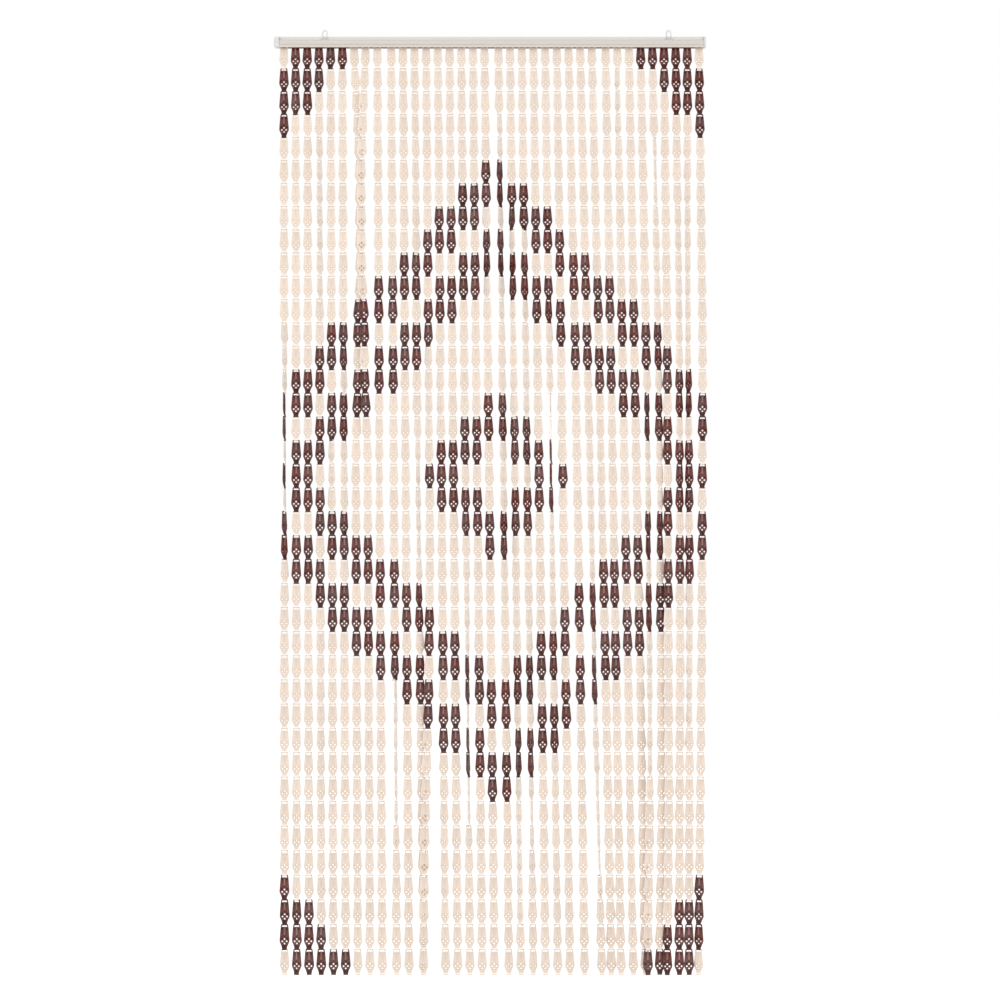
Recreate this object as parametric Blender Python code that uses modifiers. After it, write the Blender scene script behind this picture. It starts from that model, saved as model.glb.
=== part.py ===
"""Link fly screen curtain hanging from its own rail, in metres, +Z up.

X runs along the rail, -Y is the front, and the origin is on the rail's back, half way up its front.
Thirty-six chains of flat moulded links hang from four hook strips inside the rail.
"""

import math

import bmesh
import bpy
import numpy as np

MM = 0.001

# Rail, as lengths along Y (depth) and Z (height) of its section
RAIL_LENGTH = 0.905
RAIL_HEIGHT = 0.0242
RAIL_DEPTH = 0.022
RAIL_WALL = 0.002
RAIL_BACK_RAISED = 0.0038
TRACK_HEIGHT = 0.0089
TRACK_DEPTH = 0.017
RAIL_LIP = 0.0008
LIP_HEIGHT = 0.0042

# End caps
CAP_LEFT_LENGTH = 0.011
CAP_RIGHT_LENGTH = 0.0042
CAP_EDGE = 0.0015
CAP_TOP_ROUND = 0.0065
ROUND_STEPS = 4
WELD_WITHIN = 0.0001

# Hanging loops: an eye on a foot that stands in the track
LOOP_X = {"left": -0.346, "right": 0.3745}
LOOP_THICKNESS = 0.0026
EYE_HALF = (0.0061, 0.0098)
EYE_HOLE_HALF = (0.0034, 0.0063)
EYE_HEIGHT = 0.0164
EYE_STEPS = 14
HOLE_STEPS = 12
STEM_WIDTH = 0.0055
FOOT_WIDTH = 0.0155
FOOT_HEIGHT = 0.0028

# Hook strips, each with nine chains
CHAINS = 36
CHAINS_PER_STRIP = 9
HOOK_PITCH = 0.0245
FIRST_HOOK_X = -0.4325
STRIP_PITCH = 0.225
STRIP_OVERHANG = 0.0075
STRIP_TOP = 0.0007
STRIP_BOTTOM = -0.0057
CLEARANCE = 0.0003

# Chains of links, with a ring of the chain's outline at each link's shoulder and neck
ROWS = 39
LINK_PITCH = 0.04905
LINK_TOP = -0.00525
LINK_DEPTH = 0.0040
CHAIN_Y = -0.011
ROOT_Z = -0.0030
ROOT_WIDTH = 0.014
SHOULDER_WIDTH = 0.0192
NECK_WIDTH = 0.0088
SHOULDER_AT = 0.62
NECK_AT = 0.965

# All chains lean a little to the right on their way down
HEM_LEAN = 0.0215

# Sideways drift of single chains from that leaning line: (row, millimetres)
DRIFT = {
    7: ((1, 0), (3, 5), (6, 10), (11, 10), (12, 5), (15, 5), (18, 0)),
    8: ((1, 0), (3, -5), (6, -10), (11, -10), (12, -5), (15, -5), (18, 0)),
    12: ((20, 0), (36, 5)),
    13: ((22, 0), (28, -5), (34, -15), (39, -20)),
    25: ((13, 5),),
    26: ((13, 5), (30, 10), (39, 15)),
    27: ((13, 5), (39, 10)),
    31: ((15, 0), (26, -5), (33, -10), (39, -20)),
    32: ((15, 0), (26, -5), (33, -10), (39, -20)),
    33: ((13, -5), (26, -15), (33, -20), (39, -30)),
    34: ((13, -5), (26, -15), (39, -30)),
    35: ((13, -10), (26, -20), (39, -35)),
    36: ((13, -5), (26, -20), (39, -40)),
}

# Chains that cross or crowd pass in front of (-) or behind (+) their neighbours: (row, millimetres)
STAND_OFF = {
    7: ((1, 0), (3, 3.5), (16, 3.5), (19, 0)),
    8: ((1, 0), (3, -3.5), (16, -3.5), (19, 0)),
    12: ((24, 0), (27, 3.5)),
    13: ((24, 0), (27, -3.5)),
    26: ((32, 0), (35, -2.5)),
    27: ((32, 0), (35, 2.5)),
    28: ((32, 0), (35, -2)),
    29: ((32, 0), (35, -3.5)),
    30: ((26, 0), (31, 3.5)),
    31: ((26, 0), (31, -3.5)),
    32: ((20, 0), (23, 3.5)),
    33: ((20, 0), (23, -3.5)),
}

# Chains that hang turned, some of them edge on: (row, degrees about the vertical)
TURN = {
    1: ((11, 0), (14, 60), (16, 80), (20, 80), (22, 60), (24, 20), (26, 0)),
    4: ((4, 0), (5, 50), (11, 50), (13, 0), (24, 0), (26, 30), (36, 30), (38, 0)),
    5: ((16, 0), (18, -40), (19, -40), (21, 0)),
    6: ((12, 0), (14, 40), (20, 40), (24, 0)),
    9: ((16, 0), (18, -30), (20, -30), (22, 0)),
    10: ((25, 0), (27, 40), (28, 70), (33, 70), (35, 30), (37, 0)),
    12: ((2, 0), (4, 30), (10, 30), (13, 0), (16, 0), (18, 60), (22, 60), (25, 40), (28, 0)),
    13: ((12, 0), (14, -30), (17, -30), (20, 0)),
    14: ((13, 0), (15, -30), (16, -30), (18, 0), (31, 0), (33, -30), (37, -30), (39, 0)),
    16: ((17, 0), (19, 30), (22, 30), (24, 50), (26, 70), (33, 70), (36, 0)),
    18: ((7, 0), (9, -40), (11, -40), (14, 0)),
    19: ((3, 0), (4, 50), (12, 50), (15, 20), (17, 40), (20, 40), (22, 50), (25, 20), (37, 20)),
    20: ((7, 0), (8, -50), (12, -50), (15, -30), (27, -30), (30, -50), (37, -50), (39, 0)),
    21: ((7, 0), (9, 40), (18, 40), (22, 20), (27, 40), (31, 50), (33, 70), (35, 40), (37, 20)),
    23: ((10, 0), (12, 40), (15, 40), (16, 80), (19, 80), (21, 60), (26, 30), (37, 30), (39, 0)),
    26: ((13, 0), (19, 30), (25, 60), (28, 60), (30, 40), (32, 70), (35, 70), (38, 0)),
    27: ((2, -20), (10, -20), (13, 0), (18, -30), (22, -30), (24, 0)),
    29: ((1, 0), (2, -50), (4, -50), (8, 0), (30, 0), (33, -30), (37, -30), (39, 0)),
    31: ((14, 0), (16, 50), (31, 50), (33, 0)),
    32: ((4, 0), (5, 60), (7, 60), (9, 30), (18, 30), (20, 40), (22, 40), (24, 0)),
    34: ((6, 0), (8, 30), (19, 30), (23, 0)),
    35: ((3, 0), (5, -30), (9, -50), (16, -50), (20, -30), (24, -30), (26, -50), (29, -50), (31, 0)),
    36: ((35, 0), (37, -30), (39, -30)),
}

# The other chains turn by a few degrees to and fro
IDLE_TURN = 11
IDLE_ROWS = 6
IDLE_STEP = 2.4
IDLE_START = 3

# Pattern of brown links: stepped lozenges round the middle, and stepped corners
LOZENGE_ROW = 19
LOZENGE_REACH = 13.43
LOZENGE_SLOPE = 0.565
LOZENGE_BANDS = (0, 1, 3, 4, 10, 11)
CORNER_REACH = 5.6

CREAM = (0.68, 0.575, 0.495)
BROWN = (0.105, 0.038, 0.031)
RAIL_COLOUR = (0.56, 0.51, 0.47)
CAP_COLOUR = (0.60, 0.59, 0.575)
LOOP_COLOUR = (0.80, 0.80, 0.79)
SATIN = 0.4
GLOSSY = 0.25


def clear_scene():
    for obj in list(bpy.data.objects):
        bpy.data.objects.remove(obj, do_unlink=True)


def collection(name):
    made = bpy.data.collections.new(name)
    bpy.context.scene.collection.children.link(made)
    return made


def finish(name, colour, roughness=SATIN):
    material = bpy.data.materials.new(name)
    material.use_nodes = True
    shader = material.node_tree.nodes["Principled BSDF"]
    shader.inputs["Base Color"].default_value = (*colour, 1.0)
    shader.inputs["Roughness"].default_value = roughness
    return material


def extruded(name, outlines, thickness, material, into):
    """A flat piece: closed outlines in the object's own XY plane, extruded both ways along its Z."""
    curve = bpy.data.curves.new(name, "CURVE")
    curve.dimensions = "2D"
    curve.fill_mode = "BOTH"
    curve.extrude = thickness / 2
    for outline in outlines:
        spline = curve.splines.new("POLY")
        spline.points.add(len(outline) - 1)
        for point, (x, y) in zip(spline.points, outline):
            point.co = (x, y, 0.0, 1.0)
        spline.use_cyclic_u = True
    curve.materials.append(material)
    made = bpy.data.objects.new(name, curve)
    into.objects.link(made)
    return made


def mesh_object(name, bm, materials, into):
    """Ends a bmesh by making it an object."""
    mesh = bpy.data.meshes.new(name)
    bm.to_mesh(mesh)
    bm.free()
    for material in materials:
        mesh.materials.append(material)
    made = bpy.data.objects.new(name, mesh)
    into.objects.link(made)
    return made


def block(name, low, high, material, into):
    """A box from its lowest to its highest corner."""
    bm = bmesh.new()
    bmesh.ops.create_cube(bm, size=1.0)
    for vert in bm.verts:
        vert.co = [(a + b) / 2 + c * (b - a) for a, b, c in zip(low, high, vert.co)]
    return mesh_object(name, bm, [material], into)


def rail_section():
    """Outline (Y, Z) of the channel: open below, its back shorter, the track's step at its front's top."""
    top = RAIL_HEIGHT / 2
    back_bottom = -top + RAIL_BACK_RAISED
    step = top - TRACK_HEIGHT
    front = -RAIL_DEPTH
    inner = front + RAIL_WALL
    track_inner = -TRACK_DEPTH + RAIL_WALL
    return [
        (0.0, back_bottom),
        (0.0, top),
        (-TRACK_DEPTH + RAIL_LIP, top),
        (-TRACK_DEPTH, top - RAIL_LIP),
        (-TRACK_DEPTH, step),
        (front + RAIL_LIP, step),
        (front, step - RAIL_LIP),
        (front, -top + LIP_HEIGHT),
        (front - RAIL_LIP, -top + LIP_HEIGHT - RAIL_LIP),
        (front - RAIL_LIP, -top + RAIL_LIP),
        (front, -top),
        (inner, -top),
        (inner, step - RAIL_WALL),
        (track_inner, step - RAIL_WALL),
        (track_inner, top - RAIL_WALL),
        (-RAIL_WALL, top - RAIL_WALL),
        (-RAIL_WALL, back_bottom),
    ]


def make_rail(into):
    left = -RAIL_LENGTH / 2 + CAP_LEFT_LENGTH + CLEARANCE
    right = RAIL_LENGTH / 2 - CAP_RIGHT_LENGTH - CLEARANCE
    material = finish("rail", RAIL_COLOUR)
    made = extruded("rail", [rail_section()], right - left, material, into)
    made.rotation_euler = (math.radians(90), 0.0, math.radians(90))
    made.location.x = (left + right) / 2


def cap_section():
    """Outline (Y, Z) of an end cap: as high and deep as the rail, with its front's top rounded."""
    front = -RAIL_DEPTH - RAIL_LIP
    top = RAIL_HEIGHT / 2
    middle = (front + CAP_TOP_ROUND, top - CAP_TOP_ROUND)
    turns = [math.pi / 2 * i / ROUND_STEPS for i in range(ROUND_STEPS + 1)]
    rounding = [
        (middle[0] - CAP_TOP_ROUND * math.sin(turn), middle[1] + CAP_TOP_ROUND * math.cos(turn))
        for turn in turns
    ]
    return [(0.0, RAIL_BACK_RAISED - top), (0.0, top), *rounding, (front, -top)]


def make_end_caps(into):
    for side, length, sign in (("left", CAP_LEFT_LENGTH, -1), ("right", CAP_RIGHT_LENGTH, 1)):
        name = "end_cap_" + side
        made = extruded(name, [cap_section()], length, finish(name, CAP_COLOUR), into)
        made.rotation_euler = (math.radians(90), 0.0, math.radians(90))
        made.location.x = sign * (RAIL_LENGTH - length) / 2
        weld = made.modifiers.new("weld", "WELD")
        weld.merge_threshold = WELD_WITHIN
        edges = made.modifiers.new("edges", "BEVEL")
        edges.limit_method = "ANGLE"
        edges.width = CAP_EDGE
        edges.segments = 1


def arc(half, start, end, steps):
    """Points (X, Z) on an upright oval about the eye's middle, from one angle in degrees to another."""
    angles = (math.radians(start + (end - start) * i / steps) for i in range(steps + 1))
    return [(half[0] * math.cos(a), EYE_HEIGHT + half[1] * math.sin(a)) for a in angles]


def make_loops(into):
    foot_bottom = RAIL_HEIGHT / 2 - TRACK_HEIGHT + CLEARANCE
    foot_top = foot_bottom + FOOT_HEIGHT
    joint = math.degrees(math.acos(STEM_WIDTH / 2 / EYE_HALF[0]))
    outline = arc(EYE_HALF, -joint, 180 + joint, EYE_STEPS)
    outline += [
        (-STEM_WIDTH / 2, foot_top),
        (-FOOT_WIDTH / 2, foot_top),
        (-FOOT_WIDTH / 2, foot_bottom),
        (FOOT_WIDTH / 2, foot_bottom),
        (FOOT_WIDTH / 2, foot_top),
        (STEM_WIDTH / 2, foot_top),
    ]
    hole = arc(EYE_HOLE_HALF, 0, 360, HOLE_STEPS)[:-1]
    for side, x in LOOP_X.items():
        name = "hanging_loop_" + side
        material = finish(name, LOOP_COLOUR, GLOSSY)
        made = extruded(name, [outline, hole], LOOP_THICKNESS, material, into)
        made.rotation_euler.x = math.radians(90)
        made.location = (x, -TRACK_DEPTH - CLEARANCE - LOOP_THICKNESS / 2, 0.0)


def along(table, chain, row):
    """The value of a table above at a row, straight between its rows, from 0 at the hook."""
    rows, values = zip((0.5, 0), *table.get(chain, ()))
    return float(np.interp(row, rows, values))


def hook_x(chain):
    strip, place = divmod(chain - 1, CHAINS_PER_STRIP)
    return FIRST_HOOK_X + strip * STRIP_PITCH + place * HOOK_PITCH


def chain_at(chain, links_down):
    """Where a chain's middle line is (X, Y, turn about Z) so many links below its top."""
    row = links_down + 0.5
    x = hook_x(chain) + HEM_LEAN * links_down / ROWS + along(DRIFT, chain, row) * MM
    y = CHAIN_Y + along(STAND_OFF, chain, row) * MM
    turn = along(TURN, chain, row)
    if chain not in TURN:
        sway = math.sin(IDLE_STEP * chain + row / IDLE_ROWS)
        turn = IDLE_TURN * sway * min(1.0, links_down / IDLE_START)
    return x, y, math.radians(turn)


def is_brown(chain, row):
    """Whether the pattern has a brown link at this chain and row, both counted from 1."""
    half = CHAINS // 2
    from_middle = half + 1 - chain if chain <= half else chain - half
    reach = round(LOZENGE_REACH - LOZENGE_SLOPE * from_middle)
    if reach - abs(row - LOZENGE_ROW) in LOZENGE_BANDS:
        return True
    from_side = min(chain - 1, CHAINS - chain)
    from_end = min(row - 1, ROWS - row)
    if from_side == from_end == 0:
        return False
    return from_side <= CORNER_REACH - from_end / LOZENGE_SLOPE


def ring(bm, chain, z, width):
    """Three corners of a chain's section at height z: a flat front and a ridge behind."""
    x, y, turn = chain_at(chain, max(0.0, (LINK_TOP - z) / LINK_PITCH))
    corners = ((-width / 2, -LINK_DEPTH / 2), (width / 2, -LINK_DEPTH / 2), (0.0, LINK_DEPTH / 2))
    cos, sin = math.cos(turn), math.sin(turn)
    return [bm.verts.new((x + u * cos - v * sin, y + u * sin + v * cos, z)) for u, v in corners]


def add_chain(bm, chain):
    """One chain of links as a single closed loft, from its root in the strip to the hem."""
    above = ring(bm, chain, ROOT_Z, ROOT_WIDTH)
    bm.faces.new(above)
    for row in range(1, ROWS + 1):
        link_top = LINK_TOP - (row - 1) * LINK_PITCH
        colour = int(is_brown(chain, row))
        for at, width in ((SHOULDER_AT, SHOULDER_WIDTH), (NECK_AT, NECK_WIDTH)):
            below = ring(bm, chain, link_top - at * LINK_PITCH, width)
            for i in range(3):
                j = (i + 1) % 3
                face = bm.faces.new((above[i], above[j], below[j], below[i]))
                face.material_index = colour
            above = below
    bm.faces.new(reversed(above))


def make_chains(strip, cream, brown, into, cutters):
    """A hook strip inside the rail with its nine chains, one solid."""
    first = strip * CHAINS_PER_STRIP + 1
    last = first + CHAINS_PER_STRIP - 1
    bm = bmesh.new()
    for chain in range(first, last + 1):
        add_chain(bm, chain)
    bmesh.ops.triangulate(bm, faces=bm.faces[:])
    bmesh.ops.recalc_face_normals(bm, faces=bm.faces[:])
    hanging = mesh_object("hanging_%d" % (strip + 1), bm, [cream, brown], cutters)
    hanging.hide_render = True
    hanging.display_type = "WIRE"

    front = -RAIL_DEPTH + RAIL_WALL + CLEARANCE
    low = (hook_x(first) - STRIP_OVERHANG, front, STRIP_BOTTOM)
    high = (hook_x(last) + STRIP_OVERHANG, -RAIL_WALL - CLEARANCE, STRIP_TOP)
    made = block("chains_%d" % (strip + 1), low, high, cream, into)
    join = made.modifiers.new("chains", "BOOLEAN")
    join.operation = "UNION"
    join.object = hanging
    join.material_mode = "TRANSFER"


def main():
    clear_scene()
    curtain = collection("link_curtain")
    cutters = collection("cutters")
    make_rail(curtain)
    make_end_caps(curtain)
    make_loops(curtain)
    cream = finish("cream_links", CREAM)
    brown = finish("brown_links", BROWN, GLOSSY)
    for strip in range(CHAINS // CHAINS_PER_STRIP):
        make_chains(strip, cream, brown, curtain, cutters)


main()
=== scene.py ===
"""Looks of the link fly screen curtain: moulded links, hook strips, rail, end caps and hanging loops.

The scene is in metres with +Z up and the front along -Y. A link's own sizes are in millimetres:
side is measured from its middle line, down from its top edge, and back from its middle plane.
The other pieces are in millimetres too, at their places in the scene.
"""

import math
import random

import bmesh
import bpy
import numpy as np
from mathutils import Euler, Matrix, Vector
from mathutils.geometry import delaunay_2d_cdt


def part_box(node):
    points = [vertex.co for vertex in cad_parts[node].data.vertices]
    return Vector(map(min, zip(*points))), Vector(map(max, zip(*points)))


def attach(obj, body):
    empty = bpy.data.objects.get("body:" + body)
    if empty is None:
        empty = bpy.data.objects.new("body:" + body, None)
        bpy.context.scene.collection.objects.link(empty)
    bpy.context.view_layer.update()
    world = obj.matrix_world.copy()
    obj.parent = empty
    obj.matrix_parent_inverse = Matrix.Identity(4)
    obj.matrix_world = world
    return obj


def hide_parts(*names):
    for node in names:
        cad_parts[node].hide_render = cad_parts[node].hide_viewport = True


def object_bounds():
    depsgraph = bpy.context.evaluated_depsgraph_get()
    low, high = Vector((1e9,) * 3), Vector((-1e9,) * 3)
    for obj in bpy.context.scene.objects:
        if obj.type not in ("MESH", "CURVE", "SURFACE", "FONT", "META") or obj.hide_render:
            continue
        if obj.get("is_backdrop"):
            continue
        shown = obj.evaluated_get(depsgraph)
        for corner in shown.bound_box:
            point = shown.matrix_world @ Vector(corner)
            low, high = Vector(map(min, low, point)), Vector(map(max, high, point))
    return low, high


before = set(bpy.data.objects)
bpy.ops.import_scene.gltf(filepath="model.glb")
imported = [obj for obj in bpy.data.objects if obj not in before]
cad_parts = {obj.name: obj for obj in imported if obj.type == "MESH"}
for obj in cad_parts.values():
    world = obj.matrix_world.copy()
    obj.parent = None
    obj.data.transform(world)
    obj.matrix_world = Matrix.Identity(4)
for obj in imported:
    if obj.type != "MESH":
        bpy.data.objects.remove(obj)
cad_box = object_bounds()

MM = 0.001
SEED = 7

# Chains, as in the frame
CHAINS = 36
CHAINS_PER_STRIP = 9
STRIPS = CHAINS // CHAINS_PER_STRIP
ROWS = 39
HOOK_PITCH = 0.0245
FIRST_HOOK_X = -0.4325
STRIP_PITCH = 0.225
LINK_PITCH = 0.04905
LINK_TOP = -0.00525
CHAIN_Y = -0.011
HEM_LEAN = 0.0215

# Where a chain starts, when whole rows are the middles of its links
TOP_ROW = 0.5

# Sideways drift of single chains from the leaning line: (row, millimetres)
DRIFT = {
    7: ((1, 0), (3, 5), (6, 10), (11, 10), (12, 5), (15, 5), (18, 0)),
    8: ((1, 0), (3, -5), (6, -10), (11, -10), (12, -5), (15, -5), (18, 0)),
    12: ((20, 0), (36, 5)),
    13: ((22, 0), (28, -5), (34, -15), (39, -20)),
    25: ((13, 5),),
    26: ((13, 5), (30, 10), (39, 15)),
    27: ((13, 5), (39, 10)),
    31: ((15, 0), (26, -5), (33, -10), (39, -20)),
    32: ((15, 0), (26, -5), (33, -10), (39, -20)),
    33: ((13, -5), (26, -15), (33, -20), (39, -30)),
    34: ((13, -5), (26, -15), (39, -30)),
    35: ((13, -10), (26, -20), (39, -35)),
    36: ((13, -5), (26, -20), (39, -40)),
}

# Chains that cross or crowd pass in front of (-) or behind (+) their neighbours: (row, millimetres)
STAND_OFF = {
    7: ((1, 0), (3, 3.5), (16, 3.5), (19, 0)),
    8: ((1, 0), (3, -3.5), (16, -3.5), (19, 0)),
    12: ((24, 0), (27, 3.5)),
    13: ((24, 0), (27, -3.5)),
    26: ((32, 0), (35, -2.5)),
    27: ((32, 0), (35, 2.5)),
    28: ((32, 0), (35, -2)),
    29: ((32, 0), (35, -3.5)),
    30: ((26, 0), (31, 3.5)),
    31: ((26, 0), (31, -3.5)),
    32: ((20, 0), (23, 3.5)),
    33: ((20, 0), (23, -3.5)),
}

# Chains that hang turned, some of them edge on: (row, degrees about the vertical)
TURN = {
    1: ((11, 0), (14, 60), (16, 80), (20, 80), (22, 60), (24, 20), (26, 0)),
    4: ((4, 0), (5, 50), (11, 50), (13, 0), (24, 0), (26, 30), (36, 30), (38, 0)),
    5: ((16, 0), (18, -40), (19, -40), (21, 0)),
    6: ((12, 0), (14, 40), (20, 40), (24, 0)),
    9: ((16, 0), (18, -30), (20, -30), (22, 0)),
    10: ((25, 0), (27, 40), (28, 70), (33, 70), (35, 30), (37, 0)),
    12: ((2, 0), (4, 30), (10, 30), (13, 0), (16, 0), (18, 60), (22, 60), (25, 40), (28, 0)),
    13: ((12, 0), (14, -30), (17, -30), (20, 0)),
    14: ((13, 0), (15, -30), (16, -30), (18, 0), (31, 0), (33, -30), (37, -30), (39, 0)),
    16: ((17, 0), (19, 30), (22, 30), (24, 50), (26, 70), (33, 70), (36, 0)),
    18: ((7, 0), (9, -40), (11, -40), (14, 0)),
    19: ((3, 0), (4, 50), (12, 50), (15, 20), (17, 40), (20, 40), (22, 50), (25, 20), (37, 20)),
    20: ((7, 0), (8, -50), (12, -50), (15, -30), (27, -30), (30, -50), (37, -50), (39, 0)),
    21: ((7, 0), (9, 40), (18, 40), (22, 20), (27, 40), (31, 50), (33, 70), (35, 40), (37, 20)),
    23: ((10, 0), (12, 40), (15, 40), (16, 80), (19, 80), (21, 60), (26, 30), (37, 30), (39, 0)),
    26: ((13, 0), (19, 30), (25, 60), (28, 60), (30, 40), (32, 70), (35, 70), (38, 0)),
    27: ((2, -20), (10, -20), (13, 0), (18, -30), (22, -30), (24, 0)),
    29: ((1, 0), (2, -50), (4, -50), (8, 0), (30, 0), (33, -30), (37, -30), (39, 0)),
    31: ((14, 0), (16, 50), (31, 50), (33, 0)),
    32: ((4, 0), (5, 60), (7, 60), (9, 30), (18, 30), (20, 40), (22, 40), (24, 0)),
    34: ((6, 0), (8, 30), (19, 30), (23, 0)),
    35: ((3, 0), (5, -30), (9, -50), (16, -50), (20, -30), (24, -30), (26, -50), (29, -50), (31, 0)),
    36: ((35, 0), (37, -30), (39, -30)),
}

# The other chains turn by a few degrees to and fro, and every link a little by itself
IDLE_TURN = 11
IDLE_ROWS = 6
IDLE_STEP = 2.4
IDLE_START = 3
LINK_PLAY = {"turn": 7.0, "tilt": 0.5, "roll": 0.45}

# Pattern of brown links: stepped lozenges round the middle, and stepped corners
LOZENGE_ROW = 19
LOZENGE_REACH = 13.43
LOZENGE_SLOPE = 0.565
LOZENGE_BANDS = (0, 1, 3, 4, 10, 11)
CORNER_REACH = 5.6

# Right half of a link's outline and of its slot, from the top down: (down, side)
LINK_SIDE = (
    (-0.7, 4.9),
    (-0.3, 6.1),
    (0.6, 6.8),
    (2.4, 7.25),
    (8.0, 8.05),
    (30.5, 9.95),
    (33.0, 10.05),
    (35.4, 9.5),
    (39.6, 7.5),
    (42.4, 6.2),
    (44.6, 5.4),
    (47.8, 4.9),
)
SLOT_SIDE = (
    (1.1, 0.0),
    (1.2, 2.2),
    (1.6, 3.7),
    (2.6, 4.8),
    (4.2, 5.1),
    (5.4, 4.7),
    (5.3, 2.6),
    (4.9, 0.0),
)
RIM = 0.85

# Four round holes at the points of a diamond
DIAMOND = ((0, -1), (-1, 0), (1, 0), (0, 1))
HOLES_DOWN = 33.8
HOLES_APART = 4.45
HOLE_RADIUS = 1.8
HOLE_STEPS = 12

# Ribs and the grooves between them: side of each line, how far it rises, and how far down it starts
RIB_LINES = ((0.0, 0.75, 6.8), (1.9, -0.3, 7.6), (3.8, 0.5, 10.8), (5.7, -0.3, 10.2))
RIB_SLOPE = 1.8
RIB_END = (20.0, 22.6)

# Round pits in the faces: (side, down, depth)
PITS = ((4.0, 8.5, 0.8), (5.4, 28.2, 0.7))
PIT_RADIUS = 1.4
PIT_STEPS = 6

# Other points of a link's front, and points along the middle of both faces: (side, down), and down
FRONT_POINTS = ((0.0, 25.0), (2.7, 24.8), (5.4, 24.8), (7.8, 24.0), (2.8, 28.6), (8.3, 30.4), (7.6, 17.0))
MIDDLE_POINTS = (HOLES_DOWN, 42.4, 45.4)

# Points of a face this close are one, and edges bent by more degrees than this look sharp
SAME_POINT = 1e-6
SHARP_ANGLE = 42

COLOURS = ("brown", "cream")

# Painted light on a link, darker (-) or lighter (+): painted highlights on the brown ribs, painted shade in
# pits, round holes, at the neck and under the bar and hook, and cream ribs partly darker as thicker plastic:
# (side, down, half width, half height, brown, cream)
PAINTED_LIGHT_SPOTS = (
    (0.0, 14.3, 1.2, 7.2, 0.75, -0.25),
    (4.7, 14.5, 2.2, 8.0, -0.15, 0.00),
    (4.3, 8.8, 2.0, 2.0, -0.60, -0.20),
    (0.0, 23.6, 2.2, 2.0, -0.60, -0.10),
    (0.0, 24.0, 9.0, 7.0, 0.08, 0.00),
    (5.8, 28.4, 2.2, 2.4, -0.80, -0.10),
    (0.0, 45.0, 12.0, 4.0, -0.42, 0.00),
    (0.0, 50.6, 12.0, 1.8, -0.30, -0.90),
    (0.0, -0.3, 12.0, 1.3, -0.35, -0.80),
    (0.0, 29.4, 2.6, 2.6, -0.10, -0.30),
    (4.5, 33.8, 2.6, 2.6, -0.10, -0.30),
    (0.0, 38.2, 2.6, 2.6, -0.10, -0.30),
)
# Painted glow along a link's edges, standing in for light through thin cream plastic, and the level with no
# painted light
PAINTED_EDGE_GLOW = (0.0, 0.50)
PLAIN_PAINTED_LIGHT = 0.5

# Half thickness of a link at its edge, what its crowned middle adds, and the fall at each edge
EDGE_THICK = 1.0
CROWN_THICK = 0.75
EDGE_FALL = 0.35

# The neck leans forward from here on, by so much a millimetre
NECK_BEND = 41.0
NECK_LEAN = 0.22

# Hook below a link's neck, which passes before, under and behind the next link's bar: (back, down)
HOOK_LINE = ((-0.9, 44.0), (-1.5, 46.4), (-2.2, 48.3), (-2.3, 49.8), (-1.5, 50.6), (0.4, 50.75), (2.0, 50.1))
HOOK_WIDTH = 9.6
HOOK_THICK = 1.0

# Corners of long pieces' sections: (along Y, along Z, rounding), from the wall forward
RAIL_TOP = 12.1
RAIL_FACE = -22.0
RAIL_WALL = 2.0
TRACK_TOP = 3.2
TRACK_FACE = -17.0
BACK_RAISED = 3.8
RAIL_BACK = ((0.0, BACK_RAISED - RAIL_TOP, 0.3), (0.0, RAIL_TOP, 0.6))
RAIL_FRONT = ((TRACK_FACE, RAIL_TOP, 1.0), (TRACK_FACE, TRACK_TOP, 0.3), (RAIL_FACE, TRACK_TOP, 1.0))
RAIL_LIP = (
    (RAIL_FACE, -7.2, 0.3),
    (-22.9, -7.7, 0.5),
    (-22.9, 0.4 - RAIL_TOP, 0.6),
    (RAIL_FACE, -RAIL_TOP, 0.4),
)
RAIL_INSIDE = (
    (RAIL_FACE + RAIL_WALL, -RAIL_TOP, 0.2),
    (RAIL_FACE + RAIL_WALL, TRACK_TOP - RAIL_WALL, 0.4),
    (TRACK_FACE + RAIL_WALL, TRACK_TOP - RAIL_WALL, 0.4),
    (TRACK_FACE + RAIL_WALL, RAIL_TOP - RAIL_WALL, 0.4),
    (-RAIL_WALL, RAIL_TOP - RAIL_WALL, 0.4),
    (-RAIL_WALL, BACK_RAISED - RAIL_TOP, 0.3),
)

# Grooves along the rail's front: (up, depth, half height)
RAIL_GROOVES = ((0.6, 0.25, 0.5), (-1.7, 0.25, 0.5), (-4.0, 0.25, 0.5), (-6.35, 0.7, 0.7))
GROOVE_ROUND = 0.15

# Hook strips: corners as above, how far their ends pass the outer hooks, and the ends' soft edge
STRIP_SECTION = (
    (-2.3, -5.7, 0.5),
    (-2.3, 0.7, 0.8),
    (-19.7, 0.7, 0.8),
    (-19.7, -5.7, 0.5),
    (-17.2, -5.7, 0.5),
    (-16.6, -4.1, 0.4),
    (-5.4, -4.1, 0.4),
    (-4.8, -5.7, 0.5),
)
STRIP_OVERHANG = 7.5
STRIP_EDGE = 0.4

# Steps in the rounding of a corner
ROUND_STEPS = 3

# End caps: each dome's rounding, their face, and the corners' roundings from the lower back up and over
CAP_ROUND = {"left": 4.0, "right": 1.7}
CAP_FACE = -22.8
CAP_CORNERS = (0.8, 1.0, 7.0, 2.5)
CAP_CORNER_STEPS = 4
CAP_SEAM = 0.15
CAP_SEAM_INSET = 0.1
DOME_STEPS = 6

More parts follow.
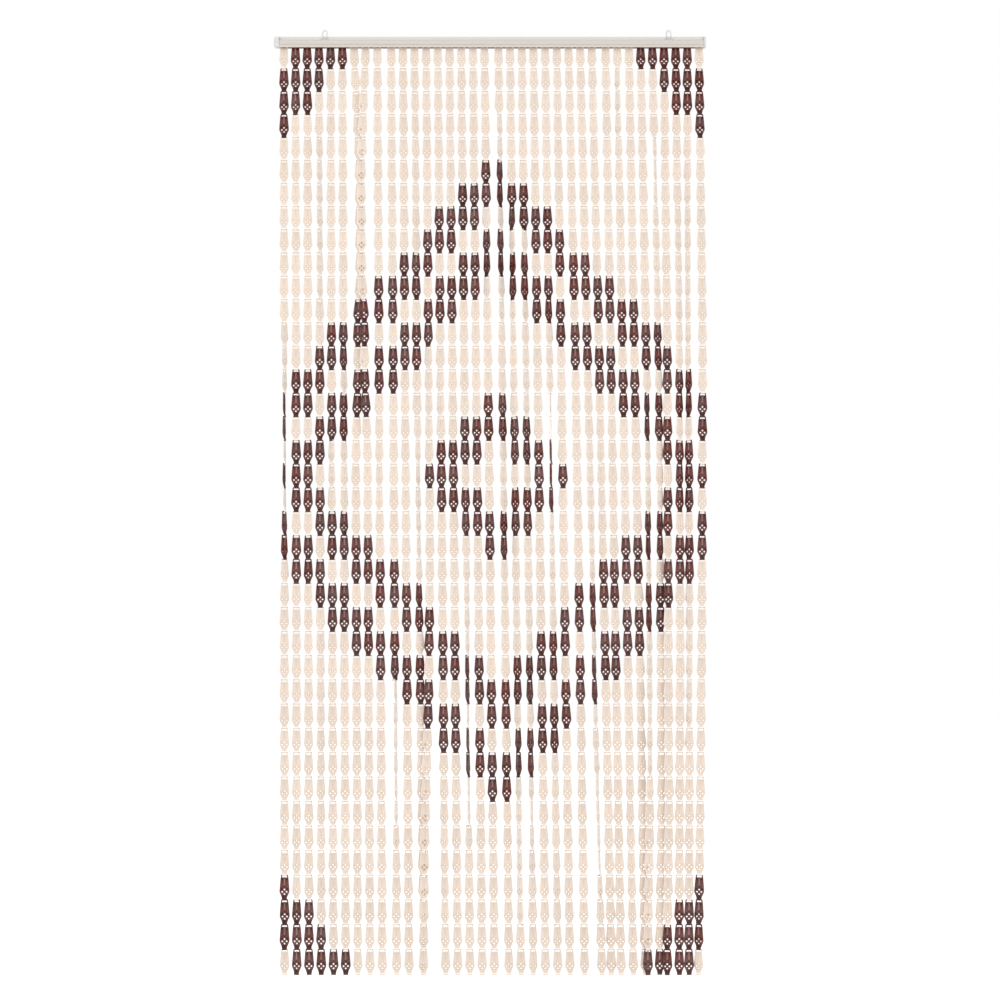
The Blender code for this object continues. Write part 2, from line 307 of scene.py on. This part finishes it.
# Hanging loops: the eye's middle line and its bar, then its foot, stem and boss
EYE_UP = 16.4
EYE_HALF = (4.75, 8.05)
EYE_BAR = (1.35, 1.75)
LOOP_Y = -18.6
LOOP_HALF_DEPTH = 1.3
EYE_STEPS = 36
BAR_STEPS = 10
FOOT_HALF = (7.75, 1.4)
FOOT_UP = 4.9
STEM_HALF = (2.75, 1.1)
BLOCK_ROUND = 0.4
BLOCK_EDGE = 0.5
BOSS_UP = 6.3
BOSS_PROFILE = ((2.1, -0.6), (2.1, 0.3), (1.7, 0.6), (0.8, 0.7))
BOSS_STEPS = 16

# Camera, worked out from how the grid of links narrows in the photograph
CAMERA_X = 0.0211
CAMERA_Y = -4.011
CAMERA_Z = -1.3419
CAMERA_TILT = 5.41
CAMERA_LENS = 70.47
CAMERA_SENSOR = 36.0

FLOOR_Z = -1.98
FLOOR_SIZE = 60.0
FLOOR_GLOW = 0.3

# How bright the white studio is: in the plastic's colour, in reflections, through clear plastic, and seen
DIFFUSE_STRENGTH = 0.9
WORLD_STRENGTH = {"Is Glossy Ray": 0.15, "Is Transmission Ray": 1.0, "Is Camera Ray": 1.0}

# Softboxes, all aimed at one place: (name, place, size, watts)
LIGHT_AIM = (0.0, 0.0, -0.9)
SOFTBOXES = (
    ("front_strip", (0.0, -4.6, -0.4), (0.7, 3.6), 26.0),
    ("left_softbox", (-2.4, -2.6, 0.4), (1.2, 1.8), 20.0),
    ("right_softbox", (2.6, -2.4, -0.2), (1.2, 1.8), 12.0),
)


def along(table, chain, row):
    """The value of a table above at a row, straight between its rows, from 0 at the hook."""
    rows, values = zip((TOP_ROW, 0), *table.get(chain, ()))
    return float(np.interp(row, rows, values))


def hook_x(chain):
    strip, place = divmod(chain - 1, CHAINS_PER_STRIP)
    return FIRST_HOOK_X + strip * STRIP_PITCH + place * HOOK_PITCH


def chain_at(chain, links_down):
    """Where a chain's middle line is, and its turn about Z in degrees, so many links below its top."""
    row = links_down + TOP_ROW
    x = hook_x(chain) + HEM_LEAN * links_down / ROWS + along(DRIFT, chain, row) * MM
    y = CHAIN_Y + along(STAND_OFF, chain, row) * MM
    turn = along(TURN, chain, row)
    if chain not in TURN:
        sway = math.sin(IDLE_STEP * chain + row / IDLE_ROWS)
        turn = IDLE_TURN * sway * min(1.0, links_down / IDLE_START)
    return Vector((x, y, LINK_TOP - links_down * LINK_PITCH)), turn


def is_brown(chain, row):
    """Whether the pattern has a brown link at this chain and row, both counted from 1."""
    half = CHAINS // 2
    from_middle = half + 1 - chain if chain <= half else chain - half
    reach = round(LOZENGE_REACH - LOZENGE_SLOPE * from_middle)
    if reach - abs(row - LOZENGE_ROW) in LOZENGE_BANDS:
        return True
    from_side = min(chain - 1, CHAINS - chain)
    from_end = min(row - 1, ROWS - row)
    if from_side == from_end == 0:
        return False
    return from_side <= CORNER_REACH - from_end / LOZENGE_SLOPE


def mirrored(half):
    """A closed loop of (side, down) from its right half, given as (down, side)."""
    right = [(side, down) for down, side in half]
    left = [(-side, down) for side, down in reversed(right) if side > 0]
    return right + left


def inside(point, loop):
    """Whether a point lies in a closed loop."""
    x, y = point
    found = False
    for (ax, ay), (bx, by) in zip(loop, loop[1:] + loop[:1]):
        if (ay > y) != (by > y) and x < ax + (bx - ax) * (y - ay) / (by - ay):
            found = not found
    return found


def circle(side, down, radius, steps):
    turns = (2 * math.pi * (i + 0.5) / steps for i in range(steps))
    return [(side + radius * math.cos(turn), down + radius * math.sin(turn)) for turn in turns]


def half_width(down):
    return float(np.interp(down, *zip(*LINK_SIDE)))


def half_thickness(side, down):
    """Half of a link's crowned thickness, before its ribs, pits and soft edges."""
    return EDGE_THICK + CROWN_THICK * max(0.0, 1 - (side / half_width(down)) ** 2)


def plate_points(relief):
    """Points of a link's face as (side, down, rise), and the closed loops and ribs among them by index."""
    points, loops, ribs = [], [], []

    def add_loop(loop, rise):
        first = len(points)
        points.extend((side, down, rise) for side, down in loop)
        loops.append(list(range(first, len(points))))

    add_loop(mirrored(LINK_SIDE), -EDGE_FALL)
    add_loop(mirrored(SLOT_SIDE), -EDGE_FALL)
    for side, down in DIAMOND:
        middle = (side * HOLES_APART, HOLES_DOWN + down * HOLES_APART)
        add_loop(circle(*middle, HOLE_RADIUS, HOLE_STEPS), -EDGE_FALL)
    edges = len(loops)

    top, bottom = LINK_SIDE[0][0], LINK_SIDE[-1][0]
    rim = [(min(max(down, top + RIM / 2), bottom - RIM), side - RIM) for down, side in LINK_SIDE]
    add_loop(mirrored(rim), 0.0)
    points.extend((0.0, down, 0.0) for down in MIDDLE_POINTS)
    if not relief:
        return points, loops, edges, ribs

    for line, rise, start in RIB_LINES:
        downs = (start, start + RIB_SLOPE, *RIB_END)
        for side in {line, -line}:
            first = len(points)
            points.extend((side, down, rise * (i in (1, 2))) for i, down in enumerate(downs))
            ribs.extend((i, i + 1) for i in range(first, len(points) - 1))
    for pit_side, pit_down, depth in PITS:
        for side in (-pit_side, pit_side):
            points.append((side, pit_down, -depth))
            points.extend((*place, 0.0) for place in circle(side, pit_down, PIT_RADIUS, PIT_STEPS))
    for side, down in FRONT_POINTS:
        points.extend((across, down, 0.0) for across in {side, -side})
    return points, loops, edges, ribs


def plate(bm):
    """A link's body, with its slot and holes cut through and its relief on the front only."""
    layers = []
    for front in (-1, 1):
        points, loops, edges, ribs = plate_points(relief=front < 0)
        flat = [Vector((side, down)) for side, down, _ in points]
        borders = [(a, b) for loop in loops for a, b in zip(loop, loop[1:] + loop[:1])]
        found, _, faces, origins, _, _ = delaunay_2d_cdt(flat, borders + ribs, [], 0, SAME_POINT)
        outer, *cuts = [[points[i][:2] for i in loop] for loop in loops[:edges]]
        layer = {}
        for (side, down), origin in zip(found, origins):
            back = front * (half_thickness(side, down) + points[origin[0]][2])
            back -= NECK_LEAN * max(0.0, down - NECK_BEND)
            layer[origin[0]] = bm.verts.new((side, back, -down))
        for face in faces:
            middle = sum((found[i] for i in face), Vector((0, 0))) / len(face)
            if inside(middle, outer) and not any(inside(middle, cut) for cut in cuts):
                bm.faces.new([layer[origins[i][0]] for i in face])
        layers.append(layer)
    for loop in loops[:edges]:
        for a, b in zip(loop, loop[1:] + loop[:1]):
            bm.faces.new((layers[0][a], layers[0][b], layers[1][b], layers[1][a]))


def loft(bm, rings, closed=False):
    """A skin over rings of points, closed end to end or with a flat face at each end."""
    rings = [[bm.verts.new(point) for point in ring] for ring in rings]
    for above, below in zip(rings, rings[1:] + rings[:1] if closed else rings[1:]):
        for i in range(len(above)):
            j = (i + 1) % len(above)
            bm.faces.new((above[i], above[j], below[j], below[i]))
    if not closed:
        bm.faces.new(rings[0])
        bm.faces.new(reversed(rings[-1]))


def hook(bm, place=(0.0, 0.0, 0.0)):
    """A flat strip bent along the hook's line."""
    rings = []
    for i, (back, down) in enumerate(HOOK_LINE):
        before, after = HOOK_LINE[max(i - 1, 0)], HOOK_LINE[min(i + 1, len(HOOK_LINE) - 1)]
        run = Vector((after[0] - before[0], after[1] - before[1])).normalized() * HOOK_THICK / 2
        rings.append([
            (place[0] + s * HOOK_WIDTH / 2, place[1] + back - t * run.y, place[2] - down - t * run.x)
            for s, t in ((-1, -1), (1, -1), (1, 1), (-1, 1))
        ])
    loft(bm, rings)


def as_arrays(bm):
    """A bmesh's points and triangles, with its faces pointing out."""
    bmesh.ops.recalc_face_normals(bm, faces=bm.faces[:])
    bmesh.ops.triangulate(bm, faces=bm.faces[:])
    bm.verts.index_update()
    points = np.array([v.co for v in bm.verts]) * MM
    triangles = np.array([[v.index for v in f.verts] for f in bm.faces])
    bm.free()
    return points, triangles


def shade_at(side, back, down, colour):
    """How much painted light or painted shade a link's plastic has at a place on it, from 0 to 1."""
    value = PLAIN_PAINTED_LIGHT
    which = COLOURS.index(colour)
    on_front = back < 0 or down > NECK_BEND
    shades = PAINTED_LIGHT_SPOTS if on_front else ()
    for at, low, wide, high, *amounts in shades:
        near = math.exp(-(((abs(side) - at) / wide) ** 2) - ((down - low) / high) ** 4)
        value += amounts[which] * near
    # Painted glow along the outline, for light through thin cream plastic
    if abs(side) > half_width(down) - RIM / 2:
        value += PAINTED_EDGE_GLOW[which]
    return min(max(value, 0.0), 1.0)


def link_arrays():
    bm = bmesh.new()
    plate(bm)
    hook(bm)
    points, triangles = as_arrays(bm)
    places = [(x / MM, y / MM, -z / MM) for x, y, z in points]
    shades = {colour: [shade_at(*place, colour) for place in places] for colour in COLOURS}
    return points, triangles, shades


def mesh_of(name, points, triangles, **attributes):
    """An object from arrays, with named values for its points."""
    mesh = bpy.data.meshes.new(name)
    mesh.vertices.add(len(points))
    mesh.vertices.foreach_set("co", points.ravel())
    mesh.loops.add(triangles.size)
    mesh.loops.foreach_set("vertex_index", triangles.ravel())
    mesh.polygons.add(len(triangles))
    mesh.polygons.foreach_set("loop_start", np.arange(0, triangles.size, 3))
    for attribute, values in attributes.items():
        mesh.attributes.new(attribute, "FLOAT", "POINT").data.foreach_set("value", values)
    mesh.update(calc_edges=True)
    mesh.validate()
    mesh.shade_smooth()
    mesh.set_sharp_from_angle(angle=math.radians(SHARP_ANGLE))
    made = bpy.data.objects.new(name, mesh)
    bpy.context.scene.collection.objects.link(made)
    return made


def dress(made, material, slot, *nodes):
    """Ends a piece of the curtain that takes the place of the frame's own nodes."""
    made.data.materials.append(material)
    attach(made, "root")
    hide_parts(*nodes)


def place_of(chain, row, luck):
    """A link's own axes as the rows of a matrix, and the middle of its top edge."""
    top, _ = chain_at(chain, row - 1)
    bottom, _ = chain_at(chain, row)
    _, turn = chain_at(chain, row - 0.5)
    up = (top - bottom).normalized()
    angle = math.radians(turn)
    back = up.cross(Vector((math.cos(angle), math.sin(angle), 0.0))).normalized()
    axes = np.array([back.cross(up), back, up])
    play = {name: math.radians(luck.uniform(-most, most)) for name, most in LINK_PLAY.items()}
    own = np.array(Euler((play["tilt"], play["roll"], play["turn"])).to_matrix())
    return own.T @ axes, np.array(top)


def make_links(materials):
    points, triangles, shades = link_arrays()
    luck = random.Random(SEED)
    for strip in range(STRIPS):
        placed = {colour: [] for colour in COLOURS}
        for chain in range(strip * CHAINS_PER_STRIP + 1, (strip + 1) * CHAINS_PER_STRIP + 1):
            for row in range(1, ROWS + 1):
                axes, top = place_of(chain, row, luck)
                colour = "brown" if is_brown(chain, row) else "cream"
                placed[colour].append((points @ axes + top, luck.random()))
        for colour, links in placed.items():
            made = mesh_of(
                "%s_links_%d" % (colour, strip + 1),
                np.concatenate([where for where, _ in links]),
                np.concatenate([triangles + i * len(points) for i in range(len(links))]),
                tone=np.repeat([tone for _, tone in links], len(points)),
                shade=np.tile(shades[colour], len(links)),
            )
            dress(made, materials[colour], colour + "_links", "chains_%d" % (strip + 1))


def rounded(corners, steps=ROUND_STEPS):
    """A closed outline of (Y, Z) from corners that each have a rounding."""
    outline = []
    for i, (y, z, rounding) in enumerate(corners):
        here = Vector((y, z))
        start = here + (Vector(corners[i - 1][:2]) - here).normalized() * rounding
        end = here + (Vector(corners[(i + 1) % len(corners)][:2]) - here).normalized() * rounding
        for k in range(steps + 1) if rounding else (0,):
            t = k / steps
            outline.append(start.lerp(here, t).lerp(here.lerp(end, t), t))
    return outline


def extrude(bm, outline, rings):
    """A piece along X: its section at each (X, inset), the inset drawn towards its middle."""
    low = [min(point[i] for point in outline) for i in (0, 1)]
    high = [max(point[i] for point in outline) for i in (0, 1)]
    middle = Vector([(a + b) / 2 for a, b in zip(low, high)])
    half = [(b - a) / 2 for a, b in zip(low, high)]

    def at(x, inset):
        shrunk = Vector([1 - inset / h for h in half])
        return [(x, *(middle + (point - middle) * shrunk)) for point in outline]

    loft(bm, [at(x, inset) for x, inset in rings])


def soft_ends(start, end, edge):
    """Rings for extrude that draw in both ends of a piece along X by a small edge."""
    return (start, edge), (start + edge, 0.0), (end - edge, 0.0), (end, edge)


def piece(name, bm, material, slot, *nodes):
    points, triangles = as_arrays(bm)
    dress(mesh_of(name, points, triangles), material, slot, *nodes)


def span(node):
    """Where a node of the frame starts and ends along X, in millimetres."""
    low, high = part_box(node)
    return low[0] / MM, high[0] / MM


def make_rail(material):
    grooves = [
        (RAIL_FACE + deep * depth, up + along_face * half, GROOVE_ROUND)
        for up, depth, half in RAIL_GROOVES
        for along_face, deep in ((1, 0), (0, 1), (-1, 0))
    ]
    bm = bmesh.new()
    left, right = span("rail")
    section = rounded((*RAIL_BACK, *RAIL_FRONT, *grooves, *RAIL_LIP, *RAIL_INSIDE))
    extrude(bm, section, ((left, 0.0), (right, 0.0)))
    piece("rail_profile", bm, material, "rail", "rail")


def make_end_caps(material):
    for side, dome in CAP_ROUND.items():
        node = "end_cap_" + side
        low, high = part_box(node)
        bottom = low[2] / MM
        ends = span(node)
        inner, outer = ends if side == "right" else reversed(ends)
        out = 1 if outer > inner else -1
        places = ((0.0, bottom + BACK_RAISED), (0.0, RAIL_TOP), (CAP_FACE, RAIL_TOP), (CAP_FACE, bottom))
        corners = [(*place, rounding) for place, rounding in zip(places, CAP_CORNERS)]
        rings = [(inner, CAP_SEAM_INSET), (inner + out * CAP_SEAM, 0.0)]
        for k in range(DOME_STEPS + 1):
            turn = math.pi / 2 * k / DOME_STEPS
            rings.append((outer - out * dome * (1 - math.sin(turn)), dome * (1 - math.cos(turn))))
        bm = bmesh.new()
        extrude(bm, rounded(corners, CAP_CORNER_STEPS), rings)
        piece("moulded_cap_" + side, bm, material, "end_caps", node)


def eye_rings(middle):
    """Round sections along the middle line of an eye."""
    for k in range(EYE_STEPS):
        turn = 2 * math.pi * k / EYE_STEPS
        cos, sin = math.cos(turn), math.sin(turn)
        outward = Vector((cos * EYE_HALF[1], sin * EYE_HALF[0])).normalized()
        bar = EYE_BAR[0] * cos ** 2 + EYE_BAR[1] * sin ** 2
        ring = []
        for around in (2 * math.pi * i / BAR_STEPS for i in range(BAR_STEPS)):
            reach = bar * math.cos(around)
            ring.append((
                middle + EYE_HALF[0] * cos + outward.x * reach,
                LOOP_Y + LOOP_HALF_DEPTH * math.sin(around),
                EYE_UP + EYE_HALF[1] * sin + outward.y * reach,
            ))
        yield ring


def loop_block(bm, middle, half_width, half_depth, low, high):
    """A block of a hanging loop with soft edges."""
    places = ((1, low), (1, high), (-1, high), (-1, low))
    corners = [(LOOP_Y + y * half_depth, z, BLOCK_ROUND) for y, z in places]
    ends = soft_ends(-half_width, half_width, BLOCK_EDGE)
    extrude(bm, rounded(corners), [(middle + x, inset) for x, inset in ends])


def make_hanging_loops(material):
    for side in ("left", "right"):
        node = "hanging_loop_" + side
        middle = sum(span(node)) / 2
        bm = bmesh.new()
        loft(bm, list(eye_rings(middle)), closed=True)
        loop_block(bm, middle, FOOT_HALF[0], LOOP_HALF_DEPTH, FOOT_UP - FOOT_HALF[1], FOOT_UP + FOOT_HALF[1])
        loop_block(bm, middle, *STEM_HALF, FOOT_UP, EYE_UP - EYE_HALF[1])
        front = LOOP_Y - LOOP_HALF_DEPTH
        turns = [2 * math.pi * i / BOSS_STEPS for i in range(BOSS_STEPS)]
        loft(bm, [
            [(middle + r * math.cos(t), front - rise, BOSS_UP + r * math.sin(t)) for t in turns]
            for r, rise in BOSS_PROFILE
        ])
        piece("clear_eye_" + side, bm, material, "hanging_loops", node)


def make_hook_strips(material):
    section = rounded(STRIP_SECTION)
    for strip in range(STRIPS):
        chains = range(strip * CHAINS_PER_STRIP + 1, (strip + 1) * CHAINS_PER_STRIP + 1)
        start = hook_x(chains[0]) / MM - STRIP_OVERHANG
        end = hook_x(chains[-1]) / MM + STRIP_OVERHANG
        bm = bmesh.new()
        extrude(bm, section, soft_ends(start, end, STRIP_EDGE))
        for chain in chains:
            hook(bm, (hook_x(chain) / MM, CHAIN_Y / MM, (LINK_TOP + LINK_PITCH) / MM))
        piece("hook_strip_%d" % (strip + 1), bm, material, "cream_links", "chains_%d" % (strip + 1))


BLACK = (0.0, 0.0, 0.0)
WHITE = (1.0, 1.0, 1.0)
RAIL_BEIGE = (0.553, 0.504, 0.464)
TRACK_GREY = (0.63, 0.61, 0.575)
# Colour of the painted shade inside the rail's channel
INSIDE_PAINTED_SHADE = (0.24, 0.175, 0.14)

# Where painted shade darkens the rail's inside, in metres: along Y, and the heights between which it fades
# out
PAINTED_SHADE_DEPTH = (-0.024, 0.0)
PAINTED_SHADE_FADE = (0.0011, 0.0014)

# Half the blend between the rail's face and its track, as a share of its height
TRACK_BLEND = 0.01

# A number that scatters each link's tone into a second one
TONE_SCATTER = 17.0


class Shader:
    """A Principled material built node by node."""

    def __init__(self, name, **values):
        self.material = bpy.data.materials.new(name)
        self.material.use_nodes = True
        self.tree = self.material.node_tree
        self.surface = self.tree.nodes["Principled BSDF"]
        for socket, value in values.items():
            socket = socket.replace("_", " ")
            self.surface.inputs[socket].default_value = (*value, 1.0) if isinstance(value, tuple) else value

    def node(self, kind, **settings):
        made = self.tree.nodes.new("ShaderNode" + kind)
        for name, value in settings.items():
            setattr(made, name, value)
        return made

    def link(self, source, target):
        self.tree.links.new(source, target)

    def noise(self, scale, detail=3.0, stretch=(1.0, 1.0, 1.0)):
        """Noise in the object's own place, in cycles a metre."""
        place = self.node("TexCoord")
        mapping = self.node("Mapping")
        mapping.inputs["Scale"].default_value = stretch
        noise = self.node("TexNoise")
        noise.inputs["Scale"].default_value = scale
        noise.inputs["Detail"].default_value = detail
        self.link(place.outputs["Object"], mapping.inputs["Vector"])
        self.link(mapping.outputs["Vector"], noise.inputs["Vector"])
        return noise.outputs["Fac"]

    def place_between(self, axis, low, high):
        """How far a place lies between two along an axis, from 0 to 1."""
        place = self.node("TexCoord")
        split = self.node("SeparateXYZ")
        spread = self.node("MapRange")
        spread.inputs["From Min"].default_value = low
        spread.inputs["From Max"].default_value = high
        self.link(place.outputs["Object"], split.inputs["Vector"])
        self.link(split.outputs[axis], spread.inputs["Value"])
        return spread.outputs["Result"]

    def ramp(self, source, stops):
        """Colours along a value."""
        ramp = self.node("ValToRGB")
        elements = ramp.color_ramp.elements
        while len(elements) < len(stops):
            elements.new(0.5)
        for element, (at, colour) in zip(elements, stops):
            element.position = at
            element.color = (*colour, 1.0)
        self.link(source, ramp.inputs["Fac"])
        return ramp.outputs["Color"]

    def paint(self, colour):
        self.link(colour, self.surface.inputs["Base Color"])

    def shuffled(self, source):
        """Another value from 0 to 1 for each value, as if drawn afresh."""
        many = self.node("Math", operation="MULTIPLY")
        many.inputs[1].default_value = TONE_SCATTER
        rest = self.node("Math", operation="FRACT")
        self.link(source, many.inputs[0])
        self.link(many.outputs["Value"], rest.inputs[0])
        return rest.outputs["Value"]

    def range(self, source, low, high, target):
        """A value from 0 to 1 as a value from low to high, into a socket."""
        spread = self.node("MapRange")
        spread.inputs["To Min"].default_value = low
        spread.inputs["To Max"].default_value = high
        self.link(source, spread.inputs["Value"])
        self.link(spread.outputs["Result"], target)

    def rough(self, source, low, high):
        self.range(source, low, high, self.surface.inputs["Roughness"])

    def bump(self, source, strength, distance):
        bump = self.node("Bump")
        bump.inputs["Strength"].default_value = strength
        bump.inputs["Distance"].default_value = distance
        self.link(source, bump.inputs["Height"])
        self.link(bump.outputs["Normal"], self.surface.inputs["Normal"])


def link_material(name, stops, spread, sheen_aslant, roughness, **values):
    """Moulded plastic: painted shade where sunk, partly also darker where thick, painted highlights and a
    painted edge glow, a painted sheen aslant, and each link in a tone of its own.
    """
    shader = Shader(name, **values)
    # Each place's painted light and shade, and each link's own random tone
    shade = shader.node("Attribute", attribute_name="shade")
    tone = shader.node("Attribute", attribute_name="tone")
    own = shader.node("HueSaturation")
    shader.link(shader.ramp(shade.outputs["Fac"], stops), own.inputs["Color"])
    shader.range(tone.outputs["Fac"], 1.0 - spread, 1.0 + spread, own.inputs["Value"])
    shader.range(shader.shuffled(tone.outputs["Fac"]), 1.0 - spread, 1.0 + spread, own.inputs["Saturation"])
    # Painted sheen: the colour drawn towards the lightest stop where a face is seen aslant
    painted_sheen = shader.node("Mix", data_type="RGBA")
    shader.range(shader.node("LayerWeight").outputs["Facing"], 0.0, sheen_aslant, painted_sheen.inputs["Factor"])
    shader.link(own.outputs["Color"], painted_sheen.inputs["A"])
    painted_sheen.inputs["B"].default_value = (*stops[-1][1], 1.0)
    shader.paint(painted_sheen.outputs["Result"])
    shader.rough(shader.noise(90.0), low=roughness * 0.8, high=roughness * 1.25)
    shader.bump(shader.noise(420.0, detail=2.0), strength=0.25, distance=0.0004)
    return shader.material


def rail_material():
    """Beige lacquer, greyer on the recessed track along the top, and dark with painted shade inside the
    channel.
    """
    shader = Shader("rail_lacquer")
    step = (TRACK_TOP / RAIL_TOP + 1) / 2
    face = shader.ramp(
        shader.place_between("Z", -RAIL_TOP * MM, RAIL_TOP * MM),
        ((0.0, RAIL_BEIGE), (step - TRACK_BLEND, RAIL_BEIGE), (step + TRACK_BLEND, TRACK_GREY)),
    )
    # Painted shade on the channel's inside: between two depths along Y, and below a height where it fades
    # out
    inside = shader.ramp(
        shader.place_between("Y", *PAINTED_SHADE_DEPTH),
        ((0.0, BLACK), (0.15, BLACK), (0.16, WHITE), (0.92, WHITE), (0.93, BLACK)),
    )
    low = shader.ramp(shader.place_between("Z", *PAINTED_SHADE_FADE), ((0.0, WHITE), (1.0, BLACK)))
    streaks = shader.node("HueSaturation")
    along_rail = shader.noise(1.0, detail=4.0, stretch=(1.5, 900.0, 900.0))
    shader.link(face, streaks.inputs["Color"])
    shader.range(along_rail, 0.92, 1.08, streaks.inputs["Value"])
    painted_shade = shader.node("Mix", data_type="RGBA", blend_type="MULTIPLY")
    both = shader.node("Math", operation="MULTIPLY")
    shader.link(inside, both.inputs[0])
    shader.link(low, both.inputs[1])
    shader.link(both.outputs["Value"], painted_shade.inputs["Factor"])
    shader.link(streaks.outputs["Color"], painted_shade.inputs["A"])
    painted_shade.inputs["B"].default_value = (*INSIDE_PAINTED_SHADE, 1.0)
    shader.paint(painted_shade.outputs["Result"])
    shader.rough(along_rail, low=0.3, high=0.45)
    shader.bump(along_rail, strength=0.2, distance=0.0002)
    return shader.material


def cap_material():
    """Pale grey plastic with painted light: lighter towards its top and darker towards its lower edge."""
    shader = Shader("end_cap_plastic")
    own = shader.node("HueSaturation")
    up = shader.place_between("Z", -RAIL_TOP * MM, RAIL_TOP * MM)
    # Painted light from above on the rounded top, and painted shade along the lower edge
    stops = (
        (0.0, (0.51, 0.495, 0.48)),
        (0.15, (0.61, 0.595, 0.58)),
        (0.7, (0.59, 0.58, 0.565)),
        (1.0, (0.75, 0.745, 0.73)),
    )
    cloud = shader.noise(160.0)
    shader.link(shader.ramp(up, stops), own.inputs["Color"])
    shader.range(cloud, 0.95, 1.05, own.inputs["Value"])
    shader.paint(own.outputs["Color"])
    shader.rough(cloud, low=0.35, high=0.5)
    shader.bump(shader.noise(700.0), strength=0.2, distance=0.0002)
    return shader.material


def loop_material():
    shader = Shader("clear_plastic", Base_Color=(0.76, 0.765, 0.765), IOR=1.45, Transmission_Weight=0.35)
    shader.rough(shader.noise(300.0), low=0.12, high=0.24)
    return shader.material


def make_floor():
    bpy.ops.mesh.primitive_plane_add(size=FLOOR_SIZE, location=(0.0, 0.0, FLOOR_Z))
    floor = bpy.context.object
    floor.name = "floor"
    shader = Shader("white_floor", Base_Color=(0.95, 0.95, 0.95), Roughness=0.9)
    shader.surface.inputs["Emission Color"].default_value = (1.0, 1.0, 1.0, 1.0)
    shader.surface.inputs["Emission Strength"].default_value = FLOOR_GLOW
    floor.data.materials.append(shader.material)
    floor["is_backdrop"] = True


def softbox(name, place, size, watts):
    light = bpy.data.lights.new(name, "AREA")
    light.shape = "RECTANGLE"
    light.size, light.size_y = size
    light.energy = watts
    made = bpy.data.objects.new(name, light)
    made.location = place
    made.rotation_euler = (Vector(LIGHT_AIM) - Vector(place)).to_track_quat("-Z", "Y").to_euler()
    made.visible_camera = False
    bpy.context.scene.collection.objects.link(made)


def make_light():
    """A white studio: pure white behind the curtain, and a dimmer white in its reflections."""
    world = bpy.data.worlds.new("studio")
    bpy.context.scene.world = world
    world.use_nodes = True
    nodes, links = world.node_tree.nodes, world.node_tree.links
    nodes["Background"].inputs["Color"].default_value = (1.0, 1.0, 1.0, 1.0)
    rays = nodes.new("ShaderNodeLightPath")
    source = None
    for ray, strength in WORLD_STRENGTH.items():
        mix = nodes.new("ShaderNodeMix")
        mix.inputs["A"].default_value = DIFFUSE_STRENGTH
        mix.inputs["B"].default_value = strength
        links.new(rays.outputs[ray], mix.inputs["Factor"])
        if source:
            links.new(source, mix.inputs["A"])
        source = mix.outputs["Result"]
    links.new(source, nodes["Background"].inputs["Strength"])
    for box in SOFTBOXES:
        softbox(*box)


def make_camera():
    camera = bpy.data.objects.new("camera", bpy.data.cameras.new("camera"))
    camera.data.sensor_width = CAMERA_SENSOR
    camera.data.lens = CAMERA_LENS
    camera.location = (CAMERA_X, CAMERA_Y, CAMERA_Z)
    camera.rotation_euler = (math.radians(90.0 + CAMERA_TILT), 0.0, 0.0)
    bpy.context.scene.collection.objects.link(camera)
    bpy.context.scene.camera = camera


make_camera()
make_light()
make_floor()
# Cream: the darker stops are painted shade, the lightest is the painted edge glow and sheen
cream = link_material(
    "cream_plastic",
    (
        (0.0, (0.44, 0.32, 0.23)),
        (0.25, (0.615, 0.487, 0.38)),
        (0.5, (0.68, 0.575, 0.495)),
        (1.0, (0.90, 0.85, 0.80)),
    ),
    spread=0.04,
    sheen_aslant=0.75,
    roughness=0.42,
    Specular_IOR_Level=0.3,
)
# Brown: the darkest stop is painted shade, the lightest the painted highlights on the ribs
brown = link_material(
    "brown_plastic",
    (
        (0.0, (0.028, 0.0065, 0.004)),
        (0.5, (0.120, 0.0415, 0.034)),
        (1.0, (0.30, 0.17, 0.16)),
    ),
    spread=0.14,
    sheen_aslant=0.05,
    roughness=0.28,
    Specular_IOR_Level=0.3,
)
make_links({"cream": cream, "brown": brown})
make_hook_strips(cream)
make_rail(rail_material())
make_end_caps(cap_material())
make_hanging_loops(loop_material())
bpy.context.scene.view_settings.view_transform = "Standard"

boxes = {"cad": cad_box, "visual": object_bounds()}
{name: [list(corner) for corner in box] for name, box in boxes.items()}
